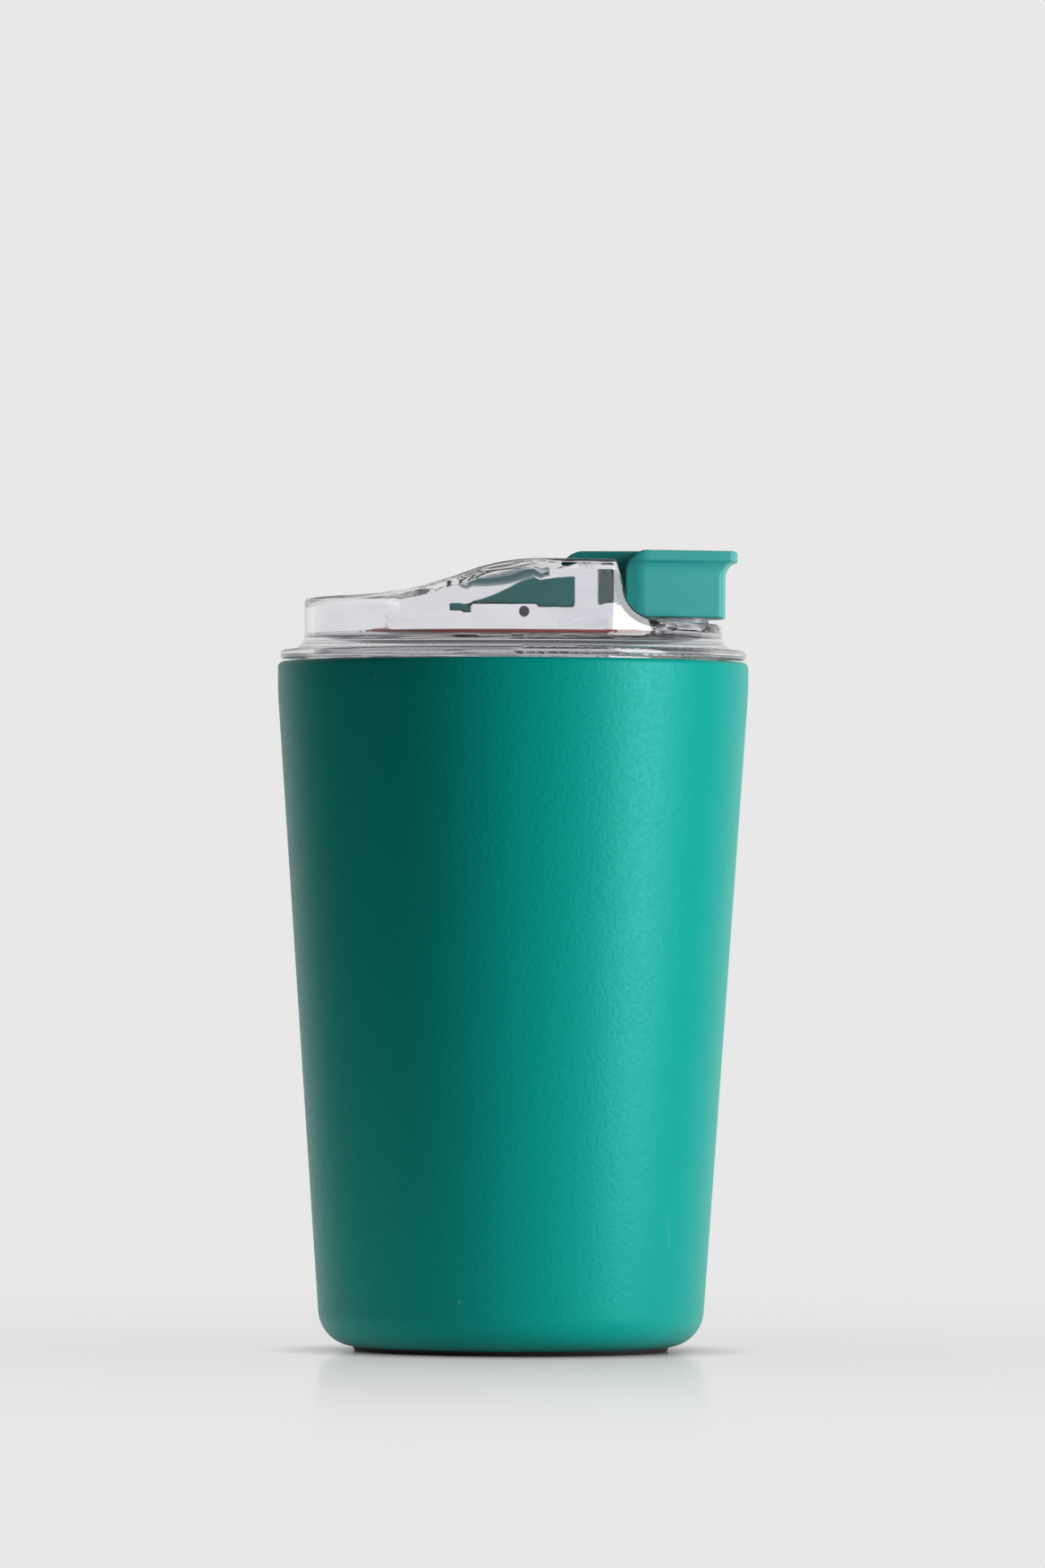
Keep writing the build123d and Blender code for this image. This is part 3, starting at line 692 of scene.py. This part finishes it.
for part in frame["record"]["subparts"]:
    dress(frame["nodes"][part["node"]], part["material_slot"])


studio = {
    "background": 0.807,
    "floorSize": 0.75, "fadeStart": 0.02, "fadeEnd": 0.5,  # the floor thins out towards its edge
    # contact is how far the painted contact shadow under the cup reaches across the floor
    "reflection": 0.62, "gloss": 0.14, "floorIor": 1.3, "paintedContactShadow": 0.012,
    "fill": 0.06, "behind": 0.807,  # the room's light from the front, and from behind the cup
    "inside": 0.66, "scattered": 0.4,  # what rays meet once they have passed the clear lid
    "floorBounce": 0.5,
}
softboxes = {
    "keySoftbox": {"azimuth": 68, "elevation": 8, "distance": 1.1, "size": (0.5, 1.0), "power": 12.8},
    "fillSoftbox": {"azimuth": -70, "elevation": 10, "distance": 1.6, "size": (0.8, 1.2), "power": 0.3},
}
softboxAim = 0.08


def makeFloor():
    deselectAll()
    bpy.ops.mesh.primitive_circle_add(vertices=128, radius=studio["floorSize"], fill_type="NGON")
    floor = bpy.context.object
    floor.name = "paleFloor"
    material = bpy.data.materials.new("paleFloor")
    material.use_nodes = True
    tree = material.node_tree
    tree.nodes.clear()
    out = tree.nodes.new("ShaderNodeOutputMaterial")
    spot = tree.nodes.new("ShaderNodeTexCoord").outputs["Object"]
    away = tree.nodes.new("ShaderNodeVectorMath")
    away.operation = "LENGTH"
    tree.links.new(spot, away.inputs[0])
    fade = rangeNode(tree, away.outputs["Value"], studio["fadeStart"], studio["fadeEnd"], 1, 0)
    # the floor's glow is darkened by ambient occlusion where the cup stands: a painted contact shadow, not one
    # cast by the lamps
    paintedContactShadow = tree.nodes.new("ShaderNodeAmbientOcclusion")
    paintedContactShadow.samples = 8
    paintedContactShadow.inputs["Distance"].default_value = studio["paintedContactShadow"]
    plate = tree.nodes.new("ShaderNodeEmission")
    scattered = tree.nodes.new("ShaderNodeLightPath").outputs["Is Diffuse Ray"]
    tree.links.new(rangeNode(tree, scattered, 0, 1, studio["background"], studio["floorBounce"]),
                   plate.inputs["Strength"])
    tree.links.new(paintedContactShadow.outputs["Color"], plate.inputs["Color"])
    gloss = tree.nodes.new("ShaderNodeBsdfGlossy")
    gloss.inputs["Roughness"].default_value = studio["gloss"]
    grazing = tree.nodes.new("ShaderNodeFresnel")
    grazing.inputs["IOR"].default_value = studio["floorIor"]
    strength = mathNode(tree, "MULTIPLY", mathNode(tree, "POWER", fade, 2.0), studio["reflection"])
    polished = tree.nodes.new("ShaderNodeMixShader")
    tree.links.new(mathNode(tree, "MULTIPLY", strength, grazing.outputs[0]), polished.inputs[0])
    tree.links.new(plate.outputs[0], polished.inputs[1])
    tree.links.new(gloss.outputs[0], polished.inputs[2])
    clear = tree.nodes.new("ShaderNodeBsdfTransparent")
    faded = tree.nodes.new("ShaderNodeMixShader")
    tree.links.new(fade, faded.inputs[0])
    tree.links.new(clear.outputs[0], faded.inputs[1])
    tree.links.new(polished.outputs[0], faded.inputs[2])
    tree.links.new(faded.outputs[0], out.inputs["Surface"])
    floor.data.materials.append(material)


def makeWorld():
    world = bpy.data.worlds.new("studioAir")
    bpy.context.scene.world = world
    world.use_nodes = True
    tree = world.node_tree
    tree.nodes.clear()
    out = tree.nodes.new("ShaderNodeOutputWorld")
    direction = tree.nodes.new("ShaderNodeTexCoord").outputs["Generated"]
    axes = tree.nodes.new("ShaderNodeSeparateXYZ")
    tree.links.new(direction, axes.inputs[0])
    behind = rangeNode(tree, axes.outputs["Y"], 0.45, 0.85, studio["fill"], studio["behind"])
    lit = tree.nodes.new("ShaderNodeBackground")
    tree.links.new(behind, lit.inputs["Strength"])
    seen = tree.nodes.new("ShaderNodeBackground")
    seen.inputs["Strength"].default_value = studio["background"]
    seen.inputs["Color"].default_value = (1, 1, 1, 1)
    lit.inputs["Color"].default_value = (1, 1, 1, 1)
    # light that has passed through the clear lid meets a brighter room
    path = tree.nodes.new("ShaderNodeLightPath")
    inside = tree.nodes.new("ShaderNodeBackground")
    room = rangeNode(tree, axes.outputs["Y"], -0.1, 0.6, studio["inside"], studio["background"])
    scattered = mathNode(tree, "GREATER_THAN", path.outputs["Diffuse Depth"], 0.5)
    tree.links.new(mathNode(tree, "MULTIPLY", room, rangeNode(tree, scattered, 0, 1, 1, studio["scattered"])),
                   inside.inputs["Strength"])
    inside.inputs["Color"].default_value = (0.985, 0.985, 1, 1)
    passed = mathNode(tree, "GREATER_THAN", path.outputs["Transmission Depth"], 0.5)
    through = tree.nodes.new("ShaderNodeMixShader")
    tree.links.new(passed, through.inputs[0])
    tree.links.new(lit.outputs[0], through.inputs[1])
    tree.links.new(inside.outputs[0], through.inputs[2])
    unscattered = mathNode(tree, "MULTIPLY", path.outputs["Is Transmission Ray"],
                           mathNode(tree, "SUBTRACT", 1, scattered))
    straight = mathNode(tree, "MAXIMUM", path.outputs["Is Camera Ray"], unscattered)
    mix = tree.nodes.new("ShaderNodeMixShader")
    tree.links.new(straight, mix.inputs[0])
    tree.links.new(through.outputs[0], mix.inputs[1])
    tree.links.new(seen.outputs[0], mix.inputs[2])
    tree.links.new(mix.outputs[0], out.inputs["Surface"])


def addSoftbox(name, azimuth, elevation, distance, size, power):
    # azimuth is counted from the camera's side towards +X
    turn, lift = math.radians(azimuth), math.radians(elevation)
    light = bpy.data.lights.new(name, "AREA")
    light.shape = "RECTANGLE"
    light.size, light.size_y = size
    light.energy = power
    box = bpy.data.objects.new(name, light)
    box.visible_transmission = False
    bpy.context.scene.collection.objects.link(box)
    box.location = (distance * math.sin(turn) * math.cos(lift), -distance * math.cos(turn) * math.cos(lift),
                    softboxAim + distance * math.sin(lift))
    box.rotation_euler = (math.pi / 2 - lift, 0, turn)


def makeCamera():
    view = {"distance": 1.94, "height": 0.074, "aimX": 0.00186, "aimZ": 0.10226, "lens": 246.6, "roll": -0.2}
    lens = bpy.data.cameras.new("studioCamera")
    lens.lens = view["lens"]
    lens.sensor_width = 36
    lens.clip_end = 20
    camera = bpy.data.objects.new("studioCamera", lens)
    bpy.context.scene.collection.objects.link(camera)
    camera.location = (view["aimX"], -view["distance"], view["height"])
    tilt = math.atan2(view["aimZ"] - view["height"], view["distance"])
    camera.rotation_euler = (math.pi / 2 + tilt, math.radians(view["roll"]), 0)
    bpy.context.scene.camera = camera


makeFloor()
makeWorld()
for name, settings in softboxes.items():
    addSoftbox(name, **settings)
makeCamera()
scene = bpy.context.scene
scene.view_settings.view_transform = "Standard"
# the clear lid is seen edge-on, so light needs many bounces to get through it
scene.cycles.max_bounces = 32
scene.cycles.transmission_bounces = 24
scene.cycles.glossy_bounces = 16
print("studio ready")
